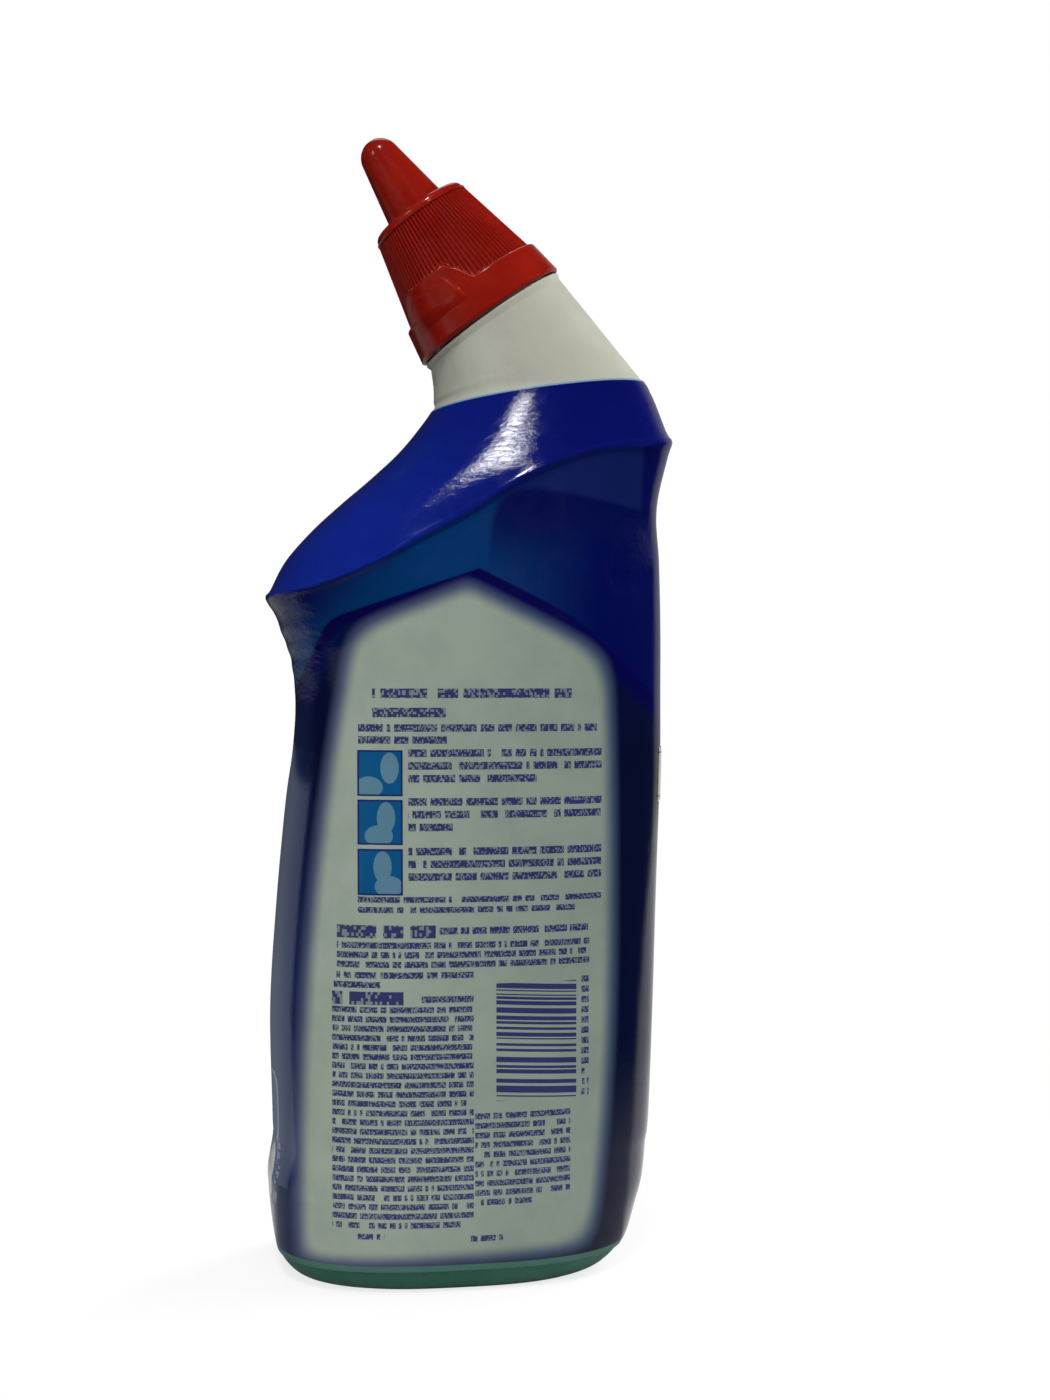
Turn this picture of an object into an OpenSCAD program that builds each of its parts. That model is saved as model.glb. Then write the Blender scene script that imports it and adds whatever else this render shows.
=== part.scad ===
/* [Bottle body] */
// Width across the flanks near the foot
body_w = 91; // [84:1:104]
// Depth from the front panel to the back panel
body_d = 59; // [50:1:68]
// Height of the rounded foot
foot_h = 20; // [14:1:28]
// Height of the narrowest point of the grip
waist_z = 133.5; // [118:0.5:140]
// How far the left flank is drawn in at the grip
waist_in = 6.6; // [2:0.1:9]
// Height of the left shoulder corner
left_corner_z = 158.5; // [155:0.5:165]
// Height of the right shoulder corner
right_corner_z = 195.5; // [190:0.5:201]
// How far the shoulder ridge stands out of the front and back panels
ridge_out = 1.2; // [0:0.1:2.5]
// Squareness of the body section, 2 is an ellipse
body_square = 2.6; // [2:0.05:3]
// Wall of the blown bottle
wall = 1.1; // [0.8:0.1:1.8]
// Height of the push-up under the sole
push_up = 3; // [1:0.5:4]
// Level of the cleaner above the sole
fill_z = 175.5; // [120:0.5:182]

/* [Neck] */
// Lean of the neck from the vertical, in degrees
neck_tilt = 35.2; // [32:0.2:38]
// Distance of the cap rim's centre to the right of the body's middle
rim_x = 7.3; // [5:0.1:10]
// Height of the cap rim's centre
rim_z = 225.8; // [224:0.2:231]
// Radius of the bare neck just below the cap
neck_r = 18.8; // [18:0.1:19.2]
// Outer radius of the neck finish inside the cap
finish_r = 12.8; // [12:0.1:13]
// Bore radius of the neck finish
bore_r = 11; // [9.5:0.1:11.2]
// Height of the neck finish above the cap rim
finish_h = 11; // [9:0.5:12]

/* [Sleeve label] */
// Thickness of the shrink film
film_t = 0.3; // [0.2:0.05:0.5]
// Gap between the film and the bottle
film_gap = 0.08; // [0.02:0.01:0.2]
// Height of the film's lower edge
film_z = 5.4; // [3.5:0.1:7]

/* [Price sticker] */
// Width of the sticker, measured round the right flank
sticker_w = 22; // [16:1:30]
// Height of the sticker
sticker_h = 12.7; // [10:0.1:18]
// Height of the sticker's lower edge
sticker_z = 110; // [90:1:120]
// Thickness of the paper
sticker_t = 0.2; // [0.1:0.05:0.4]

/* [Closure base] */
// Gap between the fitment and the neck finish
fit_gap = 0.1; // [0.05:0.05:0.2]
// Wall of the fitment's skirt
fitment_wall = 1.4; // [1.2:0.1:1.8]
// Radius of the fitment's retaining flange
flange_r = 17; // [16.4:0.1:17]
// Outer radius of the tower that the cap turns on
tower_r = 6.4; // [5.5:0.1:6.6]
// Outer radius of the nozzle in the spout
nozzle_r = 2.9; // [2.4:0.1:3.2]
// Bore radius of the nozzle
nozzle_bore_r = 1.8; // [1.4:0.1:2]
// Radius of the plug pin in the tip
pin_r = 1.25; // [1:0.05:1.5]

/* [Twist cap] */
// Radius of the cap's lower rim
rim_r = 19.7; // [19.4:0.1:21]
// Height of the smooth skirt
skirt_h = 8.2; // [7.5:0.1:10]
// Radius of the ribbed grip where it meets the skirt
grip_r = 17.6; // [17.4:0.1:18]
// Radius of the flat deck
deck_r = 12.2; // [11.5:0.1:14]
// Height of the deck above the rim
deck_h = 30.4; // [28:0.2:33]
// Wall of the cap
cap_wall = 1.3; // [1:0.1:1.5]
// Number of grip ribs
rib_count = 90; // [40:1:110]
// Depth of the grip ribs
rib_depth = 0.45; // [0.2:0.05:0.6]
// Radius of the spout at the deck
spout_r = 7.5; // [7.5:0.1:8.5]
// Radius of the spout's tip
tip_r = 4.8; // [4.6:0.1:5.4]
// Length of the spout above the deck
spout_l = 19.6; // [17:0.2:22]
// Running gap between the cap and the fitment
turn_gap = 0.3; // [0.2:0.05:0.4]
// Thickness of each step of the squeeze pads
pad_step = 0.6; // [0.3:0.1:0.8]
// Turn of the squeeze pads round the cap, from the front
pad_turn = -42; // [-90:1:90]

/* [Hidden] */
$fn = 72;

// Colours as the eye sees them
hdpe_white = [0.86, 0.87, 0.83];
film_blue = [0.05, 0.10, 0.48];
paper_white = [0.88, 0.87, 0.82];
cleaner_green = [0.10, 0.50, 0.42, 0.8];
cap_red = [0.75, 0.09, 0.06];

// Resolution of the blown body
section_points = 40;
row_steps = 2;

half_w = body_w / 2;
half_d = body_d / 2;

// The flanks lean out a little towards the shoulder
foot_right_in = 2.2;
right_lean = 2.2;
right_corner_out = 5.1;
chamfer_drop = 16;
ridge_band = 1.6;

// Ends of the shoulder ridge, as points in the plane of symmetry
ridge_left = [-half_w - 0.4, left_corner_z];
ridge_right = [half_w + right_corner_out, right_corner_z];

// Whole part set square over its own middle
centre_x = (ridge_left[0] + ridge_right[0]) / 2;

// Neck directions: across the neck, and along it towards the tip
neck_across = [cos(neck_tilt), sin(neck_tilt)];
neck_up = [-sin(neck_tilt), cos(neck_tilt)];
rim_point = [rim_x, rim_z];

// The bare neck ends in a flat shoulder just below the cap's rim
neck_end_w = -0.7;
neck_round = 0.9;

function mix(a, b, t) = a + (b - a) * t;

// Point on the neck at height w from the rim and distance x across
function neck_point(x, w) = rim_point + x * neck_across + w * neck_up;

// Point of a cubic curve through its end points
function curve(p0, p1, p2, p3, t) =
    pow(1 - t, 3) * p0 + 3 * t * pow(1 - t, 2) * p1 + 3 * t * t * (1 - t) * p2 + pow(t, 3) * p3;

// A row holds a section's left end, right end, half depth and squareness
function row(left, right, depth, square) = [left[0], left[1], right[0], right[1], depth, square];

// Rounded foot, from the sole's edge up
foot_square = 2.75;
foot_rows = [
    row([-half_w + 9, 0], [half_w - 14, 0], half_d - 6, foot_square),
    row([-half_w + 5.1, foot_h * 0.06], [half_w - 10.9, foot_h * 0.07], half_d - 3.8, foot_square),
    row([-half_w + 2.5, foot_h * 0.2], [half_w - 8, foot_h * 0.2], half_d - 2.4, foot_square),
    row([-half_w + 1.5, foot_h * 0.36], [half_w - 6, foot_h * 0.36], half_d - 1.5, foot_square),
    row([-half_w + 0.6, foot_h * 0.66], [half_w - 4.1, foot_h * 0.66], half_d - 0.7, foot_square - 0.1),
    row([-half_w, foot_h], [half_w - foot_right_in, foot_h], half_d - 0.2, body_square)
];

// Height at a share t of the way from the foot to the grip
function flank_z(t) = mix(foot_h, waist_z, t);

// Label panel, from the foot to the narrowest point of the grip
flank_rows = [
    row([-half_w + 0.4, flank_z(0.07)], [half_w - 1.4, flank_z(0.07)], half_d, body_square),
    row([-half_w + 1, flank_z(0.13)], [half_w - 0.6, flank_z(0.13)], half_d, body_square),
    row([-half_w + 0.5, flank_z(0.36)], [half_w + 0.4, flank_z(0.36)], half_d, body_square),
    row([-half_w + 2, flank_z(0.58)], [half_w + 1.1, flank_z(0.58)], half_d, body_square),
    row([-half_w + waist_in * 0.64, flank_z(0.79)], [half_w + 1.9, flank_z(0.79)], half_d, body_square),
    row([-half_w + waist_in * 0.9, flank_z(0.9)], [half_w + right_lean, flank_z(0.9)], half_d, body_square),
    row([-half_w + waist_in, waist_z], [half_w + right_lean, waist_z + 2], half_d, body_square)
];

// Height at a share t of the way from the grip to a shoulder corner
function rise_z(t, corner_z) = mix(waist_z, corner_z, t);

// Swell from the grip up to the shoulder ridge, whose sections lean more and more
chamfer_z = right_corner_z - chamfer_drop;
ridge_rows = [
    row([-half_w + waist_in * 0.85, rise_z(0.4, left_corner_z)],
        [half_w + right_lean, rise_z(0.38, chamfer_z)], half_d, body_square),
    row([-half_w + waist_in * 0.52, rise_z(0.68, left_corner_z)],
        [half_w + right_lean - 0.3, rise_z(0.72, chamfer_z)], half_d, body_square),
    row([-half_w + waist_in * 0.27, rise_z(0.85, left_corner_z)],
        [half_w + right_lean - 0.9, chamfer_z], half_d, body_square),
    row(ridge_left + [0.6, -ridge_band], ridge_right + [-1.2, -4], half_d + ridge_out * 0.4, body_square),
    row(ridge_left, ridge_right, half_d + ridge_out, body_square),
    row(ridge_left + [1.1, ridge_band], ridge_right + [-0.6, ridge_band], half_d + ridge_out * 0.8, 2.4)
];

// Ends of the film's upper edge, as points of the neck
film_left = neck_point(-24.6, -10.8);
film_right = neck_point(21.3, -34);

// Glossy shoulder, from the ridge to the film's upper edge
shoulder_left = [ridge_left, ridge_left + [5.7, 17], film_left + [-11, -18], film_left];
shoulder_right = [ridge_right, ridge_right + [-2.6, 5.5], film_right + [3, -4.6], film_right];
function along(p, t) = curve(p[0], p[1], p[2], p[3], t);
film_depth = neck_r + 3.4;
function shoulder_depth(t) = curve(half_d + ridge_out, half_d - 0.5, film_depth + 3, film_depth, t);
shoulder_rows = [
    for (t = [0.18, 0.34, 0.5, 0.66, 0.82, 1])
        row(along(shoulder_left, t), along(shoulder_right, t), shoulder_depth(t), mix(2.4, 2.1, t))
];

// Bare neck, from the film's upper edge to the rounded edge under the cap
function neck_row(r, w) = row(neck_point(-r, w), neck_point(r, w), r, 2);
neck_straight = 0.6;
neck_low = neck_row(neck_r, neck_end_w - neck_round - neck_straight);
neck_left = [film_left, film_left + [0.7, 3], film_left + [0.5, 6.5], [neck_low[0], neck_low[1]]];
neck_rows = [
    for (t = [0.3, 0.62])
        row(along(neck_left, t), mix(film_right, [neck_low[2], neck_low[3]], t),
            mix(film_depth, neck_r, t), 2.05)
];

// Smooth rows end at the neck's edge, which is rounded by rows of its own
smooth_rows = concat(foot_rows, flank_rows, ridge_rows, shoulder_rows, neck_rows, [neck_low]);
end_rows = [
    neck_row(neck_r, neck_end_w - neck_round),
    neck_row(neck_r - neck_round * 0.3, neck_end_w - neck_round * 0.3),
    neck_row(neck_r - neck_round, neck_end_w)
];

// Smooth curve through the rows, with row_steps rings to each row
function pick(list, i) = list[min(max(i, 0), len(list) - 1)];
function smooth(p0, p1, p2, p3, t) =
    0.5 * (2 * p1 + (p2 - p0) * t + (2 * p0 - 5 * p1 + 4 * p2 - p3) * t * t
        + (3 * p1 - p0 - 3 * p2 + p3) * pow(t, 3));
function refine(list, steps) = concat(
    [for (i = [0 : len(list) - 2], s = [0 : steps - 1])
        smooth(pick(list, i - 1), list[i], list[i + 1], pick(list, i + 2), s / steps)],
    [list[len(list) - 1]]);
body_rows = concat(refine(smooth_rows, row_steps), end_rows);

// Ring of points for a row, grown outwards by g
function power(v, p) = sign(v) * pow(abs(v), p);
function ring(r, g = 0, rise = 0, count = section_points) =
    let (left = [r[0], r[1]], right = [r[2], r[3]])
    let (middle = (left + right) / 2, reach = norm(right - left) / 2)
    let (along = (right - left) / (2 * reach), e = 2 / r[5])
    [for (k = [0 : count - 1])
        let (a = 360 * k / count)
        let (p = middle + along * (reach + g) * power(cos(a), e))
        [p[0], power(sin(a), e) * (r[4] + g), p[1] + rise]];

// Faces of a tube of rings, with a fan at each end
function wrap(rings) =
    let (n = len(rings[0]), m = len(rings))
    concat(
        [for (j = [0 : m - 2], k = [0 : n - 1])
            [j * n + k, (j + 1) * n + k, (j + 1) * n + (k + 1) % n]],
        [for (j = [0 : m - 2], k = [0 : n - 1])
            [j * n + k, (j + 1) * n + (k + 1) % n, j * n + (k + 1) % n]]);
function flat(rings) = [for (r = rings, p = r) p];

// Closed solid from rings, with a centre point under the first and over the last
module loft(rings, first, last) {
    n = len(rings[0]);
    m = len(rings);
    fans = concat(
        [for (k = [0 : n - 1]) [m * n, k, (k + 1) % n]],
        [for (k = [0 : n - 1]) [m * n + 1, (m - 1) * n + (k + 1) % n, (m - 1) * n + k]]);
    polyhedron(concat(flat(rings), [first, last]), concat(wrap(rings), fans), convexity = 10);
}

// Closed solid from rings whose last one joins the first
module loop_loft(rings) {
    n = len(rings[0]);
    m = len(rings);
    closing = concat(
        [for (k = [0 : n - 1]) [(m - 1) * n + k, k, (k + 1) % n]],
        [for (k = [0 : n - 1]) [(m - 1) * n + k, (k + 1) % n, (m - 1) * n + (k + 1) % n]]);
    polyhedron(flat(rings), concat(wrap(rings), closing), convexity = 10);
}

// Sole of the bottle: a flat ring to stand on and a raised middle
sole_middle = [(foot_rows[0][0] + foot_rows[0][2]) / 2, 0, push_up];
function shrink(points, share, z) =
    [for (p = points) [mix(sole_middle[0], p[0], share), p[1] * share, z]];
sole_edge = ring(foot_rows[0]);
sole_rings = [shrink(sole_edge, 0.5, push_up), shrink(sole_edge, 0.74, push_up * 0.7),
    shrink(sole_edge, 0.84, 0)];

// Inside of the bottle: every second ring of the body, a wall further in
floor_z = push_up + wall;
foot_end = 3 * row_steps;
film_end = (len(foot_rows) + len(flank_rows) + len(ridge_rows) + len(shoulder_rows) - 1) * row_steps;
throat_row = neck_row(bore_r + 0.4, neck_end_w);
inner_neck_row = neck_row(neck_r - wall, neck_end_w - neck_round - wall);
inner_picks = [for (i = [foot_end : 2 : len(body_rows) - 6]) body_rows[i]];
function inner_rings(g) = concat(
    [shrink(ring(body_rows[foot_end], -wall - g), 0.9, floor_z + g)],
    [for (r = inner_picks) ring(r, -wall - g)],
    [ring(inner_neck_row, -g)]);

// Level section of the body at height z, read off the rows below the leaning ones
left_rows = [for (r = body_rows) if (r[1] < left_corner_z) r];
right_rows = [for (r = body_rows) if (r[3] < chamfer_z) r];
function level_row(z) = row(
    [lookup(z, [for (r = left_rows) [r[1], r[0]]]), z],
    [lookup(z, [for (r = right_rows) [r[3], r[2]]]), z],
    lookup(z, [for (r = left_rows) [r[1], r[4]]]),
    lookup(z, [for (r = left_rows) [r[1], r[5]]]));

function reverse(list) = [for (i = [len(list) - 1 : -1 : 0]) list[i]];

module in_place() {
    translate([-centre_x, 0, 0])
        children();
}

module on_neck(w = 0) {
    in_place()
        translate([rim_x, 0, rim_z])
            rotate([0, -neck_tilt, 0])
                translate([0, 0, w])
                    children();
}

// Snap bead round the neck finish, which holds the fitment on
bead_out = 0.7;
bead_w = [5.8, 6.5, 7.2];
finish_low = neck_end_w - 0.3;

module bottle() {
    outer = concat(sole_rings, [for (r = body_rows) ring(r)]);
    inner = reverse(inner_rings(0));
    color(hdpe_white) {
        in_place()
            loft(concat(outer, [ring(throat_row)], inner), sole_middle,
                [sole_middle[0], 0, floor_z]);
        on_neck()
            rotate_extrude()
                polygon([[bore_r, finish_low], [finish_r, finish_low], [finish_r, bead_w[0]],
                    [finish_r + bead_out, bead_w[1]], [finish_r, bead_w[2]], [finish_r, finish_h],
                    [bore_r, finish_h]]);
    }
}

// The film starts on the foot and ends at its tilted edge on the neck
film_start = film_z + 0.1;
film_rows = concat([level_row(film_z)],
    [for (i = [0 : film_end]) if (min(body_rows[i][1], body_rows[i][3]) > film_start) body_rows[i]]);

module sleeve_label() {
    outer = [for (r = film_rows) ring(r, film_gap + film_t)];
    inner = [for (r = film_rows) ring(r, film_gap)];
    color(film_blue)
        in_place()
            loop_loft(concat(outer, reverse(inner)));
}

liquid_gap = 0.15;
module cleaner_liquid() {
    rings = inner_rings(liquid_gap);
    top = neck_point(0, neck_end_w - neck_round - wall);
    color(cleaner_green)
        in_place()
            intersection() {
                loft(rings, [sole_middle[0], 0, floor_z + liquid_gap], [top[0], 0, top[1]]);
                translate([-body_w, -body_w, 0])
                    cube([2 * body_w, 2 * body_w, fill_z]);
            }
}

// Point of a level section at the distance y from the plane of symmetry, on its right side
function flank_point(r, y, g) =
    let (middle = (r[0] + r[2]) / 2, reach = (r[2] - r[0]) / 2 + g, depth = r[4] + g)
    [middle + reach * pow(1 - pow(abs(y) / depth, r[5]), 1 / r[5]), y, r[1]];

// The sticker wraps round the right flank, a little further on the front
sticker_front = sticker_w * 0.6;
sticker_reach = sticker_w - 2;
sticker_columns = 12;
sticker_levels = 4;
module price_sticker() {
    inner_g = film_gap * 2 + film_t;
    function side(g) = [
        for (i = [0 : sticker_columns])
            let (y = -sticker_front + sticker_reach * i / sticker_columns)
            [for (j = [0 : sticker_levels])
                flank_point(level_row(sticker_z + sticker_h * j / sticker_levels), y, g)]
    ];
    outer = side(inner_g + sticker_t);
    inner = side(inner_g);
    loops = [for (i = [0 : sticker_columns]) concat(inner[i], reverse(outer[i]))];
    n = len(loops[0]);
    ends = concat(
        [for (k = [0 : n / 2 - 2]) each [[k, k + 1, n - 2 - k], [k, n - 2 - k, n - 1 - k]]],
        [for (k = [0 : n / 2 - 2]) each [[k, n - 2 - k, k + 1], [k, n - 1 - k, n - 2 - k]]
            + sticker_columns * n * [[1, 1, 1], [1, 1, 1]]]);
    color(paper_white)
        in_place()
            polyhedron(flat(loops), concat(wrap(loops), ends), convexity = 4);
}

// Heights on the neck axis, measured from the cap's rim
flange_w = 2.4;
flange_t = 1.2;
fitment_top = finish_h + 1.25;
tower_top = deck_h - cap_wall - 1.6;
nozzle_top = deck_h + spout_l - tip_r - 1.6;
cap_top = deck_h + spout_l;
skirt_in = finish_r + fit_gap;
skirt_out = skirt_in + fitment_wall;
bead_room = finish_r + bead_out + fit_gap;
plug_r = bore_r - fit_gap;
plug_wall = 1;
plug_low = finish_h - 2.5;
seat_w = finish_h + 0.05;
window_low = nozzle_top - 5.2;
window_h = 3;
tower_wall = 1.3;
lip_t = 1.2;

// Two stop arcs on the fitment and two teeth in the cap allow one quarter turn
turn_angle = 90;
tooth_angle = 10;
stop_gap_angle = 1.5;
stop_angle = 180 - turn_angle - tooth_angle - 2 * stop_gap_angle;
stop_r = flange_r - 0.8;
tooth_r = skirt_out + 0.45;
stop_top = flange_w + flange_t + 1.6;
window_count = 3;
window_w = 2;

module arc(angle, start, r0, r1, w0, w1) {
    rotate([0, 0, start])
        rotate_extrude(angle = angle)
            polygon([[r0, w0], [r1, w0], [r1, w1], [r0, w1]]);
}

module closure_base() {
    color(cap_red)
        on_neck() {
            difference() {
                rotate_extrude()
                    polygon([[skirt_in, 0.4], [skirt_out, 0.4], [skirt_out, flange_w],
                        [flange_r, flange_w], [flange_r, flange_w + flange_t],
                        [skirt_out, flange_w + flange_t], [skirt_out, fitment_top],
                        [tower_r, fitment_top], [tower_r, tower_top], [nozzle_r, tower_top + lip_t],
                        [nozzle_r, nozzle_top], [pin_r, nozzle_top + lip_t], [pin_r, cap_top - 0.5],
                        [0, cap_top - 0.4], [0, nozzle_top - lip_t], [nozzle_bore_r, nozzle_top - lip_t],
                        [nozzle_bore_r, tower_top], [tower_r - tower_wall, tower_top - lip_t],
                        [tower_r - tower_wall, seat_w], [plug_r - plug_wall, seat_w],
                        [plug_r - plug_wall, plug_low], [plug_r, plug_low],
                        [plug_r, seat_w], [skirt_in, seat_w],
                        [skirt_in, bead_w[2] + 0.2], [bead_room, bead_w[1]],
                        [skirt_in, bead_w[0] - 0.2]]);
                for (k = [0 : window_count - 1])
                    rotate([0, 0, 360 * k / window_count])
                        translate([0, -window_w / 2, window_low])
                            cube([nozzle_r + 1, window_w, window_h]);
            }
            for (k = [0, 1])
                arc(stop_angle, 180 * k - stop_gap_angle - stop_angle, skirt_out - 0.2, stop_r,
                    flange_w + flange_t - 0.2, stop_top);
        }
}

// Profile of the hollow inside the cap
bead_r = skirt_out + 1.9;
hollow_skirt_r = flange_r + turn_gap;
grip_base_r = grip_r - rib_depth - cap_wall;
hollow_deck_r = deck_r - rib_depth - cap_wall;
sleeve_in = tower_r + turn_gap;
sleeve_out = sleeve_in + 1.2;
sleeve_low = fitment_top + 3;
deck_under = deck_h - cap_wall;
orifice_r = pin_r + turn_gap;
module cap_hollow() {
    rotate_extrude()
        polygon([[0, -1], [rim_r - 0.9, -1], [rim_r - 0.9, 1], [bead_r, 1.2], [bead_r, 2],
            [hollow_skirt_r, 2.1], [hollow_skirt_r, 4.5], [grip_base_r, skirt_h],
            [hollow_deck_r, deck_under], [sleeve_out, deck_under], [sleeve_out, sleeve_low],
            [sleeve_in, sleeve_low], [sleeve_in, deck_under - 0.3], [spout_r - cap_wall, deck_under],
            [spout_r - cap_wall, deck_h], [tip_r - cap_wall, cap_top - tip_r],
            [orifice_r, cap_top - tip_r + 2.6], [orifice_r, cap_top + 1], [0, cap_top + 1]]);
}

// Smooth outer faces: the skirt below, and the deck with the spout above
skirt_top_r = rim_r - 1.3;
deck_round = 1.8;
ring_low = deck_h - deck_round - 1.4;
ring_out = 0.75;
spout_fillet = 0.5;
function arc_points(cx, cy, r, from, to, steps) =
    [for (i = [0 : steps]) let (a = mix(from, to, i / steps)) [cx + r * cos(a), cy + r * sin(a)]];
module cap_skirt() {
    rotate_extrude()
        polygon([[12, 0], [rim_r - 0.3, 0], [rim_r, 0.4], [skirt_top_r, skirt_h - 0.5],
            [skirt_top_r - 0.4, skirt_h], [12, skirt_h]]);
}
module cap_top_faces() {
    rotate_extrude()
        polygon(concat(
            [[0, ring_low], [deck_r + ring_out, ring_low], [deck_r + ring_out, ring_low + 0.4]],
            arc_points(deck_r - deck_round, deck_h - deck_round, deck_round, 0, 90, 6),
            [[spout_r + spout_fillet, deck_h], [spout_r, deck_h + spout_fillet]],
            arc_points(0, cap_top - tip_r, tip_r, 8, 90, 8)));
}

// Ribbed grip: a tapered star whose valleys lie a rib's depth in
rib_low = skirt_h - 1.2;
rib_high = ring_low + 0.3;
module cap_grip() {
    star = [for (k = [0 : 2 * rib_count - 1])
        let (r = k % 2 == 0 ? grip_r : grip_r - rib_depth, a = 180 * k / rib_count)
        [r * cos(a), r * sin(a)]];
    translate([0, 0, rib_low])
        linear_extrude(height = rib_high - rib_low, scale = (deck_r + 0.45) / grip_r)
            polygon(star);
}

// Squeeze pad: a tongue of the skirt that runs up over the ribs, with a raised middle
pad_high = 14.8;
pad_low_half = 12;
pad_high_half = 7.6;
face_high = 12.2;
face_low = 4.6;
face_low_half = 8;
face_high_half = 5.6;
module pad_prism(low, low_half, high, high_half) {
    rotate([90, 0, 90])
        linear_extrude(rim_r + 3)
            polygon([[-low_half, low], [low_half, low], [high_half + 0.8, high - 1.2],
                [high_half - 1, high], [1 - high_half, high], [-high_half - 0.8, high - 1.2]]);
}
module squeeze_pad() {
    pad_top_r = skirt_top_r - 1.25;
    intersection() {
        rotate_extrude()
            polygon([[12, rib_low], [skirt_top_r - 0.15, rib_low], [skirt_top_r - 0.15, skirt_h],
                [pad_top_r, pad_high - 0.5], [pad_top_r - 0.5, pad_high], [12, pad_high]]);
        pad_prism(rib_low, pad_low_half + 0.8, pad_high, pad_high_half);
    }
    intersection() {
        rotate_extrude()
            polygon([[14, face_low], [skirt_top_r + 0.3, face_low],
                [skirt_top_r + pad_step, face_low + 2.4], [skirt_top_r + pad_step, skirt_h - 0.5],
                [pad_top_r + pad_step + 0.3, face_high - 0.4], [pad_top_r + pad_step, face_high],
                [14, face_high]]);
        pad_prism(face_low, face_low_half, face_high, face_high_half);
    }
}

module twist_cap() {
    color(cap_red)
        on_neck() {
            difference() {
                union() {
                    cap_skirt();
                    cap_grip();
                    cap_top_faces();
                    for (k = [0, 1])
                        rotate([0, 0, pad_turn - 90 + 180 * k])
                            squeeze_pad();
                }
                cap_hollow();
            }
            for (k = [0, 1])
                arc(tooth_angle, 180 * k, tooth_r, hollow_skirt_r + 0.2, flange_w + flange_t + 0.4,
                    stop_top - 0.1);
        }
}

bottle();
sleeve_label();
price_sticker();
cleaner_liquid();
closure_base();
twist_cap();
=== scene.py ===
import math

import bpy
import numpy as np
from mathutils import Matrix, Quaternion, Vector


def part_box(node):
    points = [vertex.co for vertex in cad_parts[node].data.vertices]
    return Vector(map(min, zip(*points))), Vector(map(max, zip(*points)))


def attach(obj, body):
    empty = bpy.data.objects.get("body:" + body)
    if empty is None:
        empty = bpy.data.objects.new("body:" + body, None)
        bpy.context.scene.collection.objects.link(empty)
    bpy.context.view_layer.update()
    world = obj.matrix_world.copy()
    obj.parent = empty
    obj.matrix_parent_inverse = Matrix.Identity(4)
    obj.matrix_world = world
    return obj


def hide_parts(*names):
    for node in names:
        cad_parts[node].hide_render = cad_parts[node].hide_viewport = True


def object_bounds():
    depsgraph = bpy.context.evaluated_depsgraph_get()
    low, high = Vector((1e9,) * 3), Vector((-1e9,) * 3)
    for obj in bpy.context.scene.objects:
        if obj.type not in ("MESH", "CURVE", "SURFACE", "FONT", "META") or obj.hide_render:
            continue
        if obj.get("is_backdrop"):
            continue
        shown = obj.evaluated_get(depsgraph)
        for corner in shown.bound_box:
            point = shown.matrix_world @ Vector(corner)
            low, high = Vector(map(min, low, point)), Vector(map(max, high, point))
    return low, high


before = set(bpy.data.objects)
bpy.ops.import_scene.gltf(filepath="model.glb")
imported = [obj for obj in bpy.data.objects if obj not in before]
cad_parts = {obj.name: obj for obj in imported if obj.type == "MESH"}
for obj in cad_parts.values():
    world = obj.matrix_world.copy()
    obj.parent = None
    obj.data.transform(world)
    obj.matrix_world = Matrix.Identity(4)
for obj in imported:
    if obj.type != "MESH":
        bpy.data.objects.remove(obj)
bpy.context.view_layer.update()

MM = 0.001

# Sizes of the part, in millimetres, as its CAD source gives them
HALF_W, HALF_D = 45.5, 29.5
FOOT_H, WAIST_Z, WAIST_IN = 20.0, 133.5, 6.6
LEFT_Z, RIGHT_Z = 158.5, 195.5
RIDGE_OUT, RIDGE_BAND = 1.2, 1.6
RIGHT_LEAN, RIGHT_OUT, CHAMFER_DROP = 2.2, 5.1, 16.0
BODY_SQUARE, FOOT_SQUARE = 2.6, 2.75
WALL, PUSH_UP = 1.1, 3.0
TILT = math.radians(35.2)
RIM_X, RIM_Z = 7.3, 225.8
NECK_R, FINISH_R, BORE_R, FINISH_H = 18.8, 12.8, 11.0, 11.0
NECK_END, NECK_ROUND, NECK_FLARE = -0.7, 0.9, 0.5
FILM_T, FILM_GAP, FILM_Z = 0.3, 0.08, 5.4
CLEANER_LEVEL = 175.5
RIM_R, SKIRT_H, GRIP_R, DECK_R, DECK_H = 19.7, 8.2, 17.6, 12.2, 30.4
SPOUT_R, TIP_R, SPOUT_L = 7.5, 4.8, 19.6
CAP_TOP = DECK_H + SPOUT_L
RIBS, RIB_DEPTH = 90, 0.45
PAD_TURN = -42.0

# Spacing of the rings in the skins' meshes, in millimetres
FOOT_PITCH, BODY_PITCH, SHOULDER_PITCH, INSIDE_PITCH = 0.7, 1.6, 1.1, 6.0
SLEEVE_PITCH, SLEEVE_INSIDE_PITCH = 0.9, 7.0

RIDGE_L = np.array([-HALF_W - 0.4, LEFT_Z])
RIDGE_R = np.array([HALF_W + RIGHT_OUT, RIGHT_Z])
CENTRE_X = (RIDGE_L[0] + RIDGE_R[0]) / 2
ACROSS = np.array([math.cos(TILT), math.sin(TILT)])
UP = np.array([-math.sin(TILT), math.cos(TILT)])
RIDGE_SLOPE = (RIGHT_Z - LEFT_Z) / (RIDGE_R[0] - RIDGE_L[0])
RIDGE_MID = (RIGHT_Z + LEFT_Z) / 2

RIM = np.array([RIM_X, RIM_Z])

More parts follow.
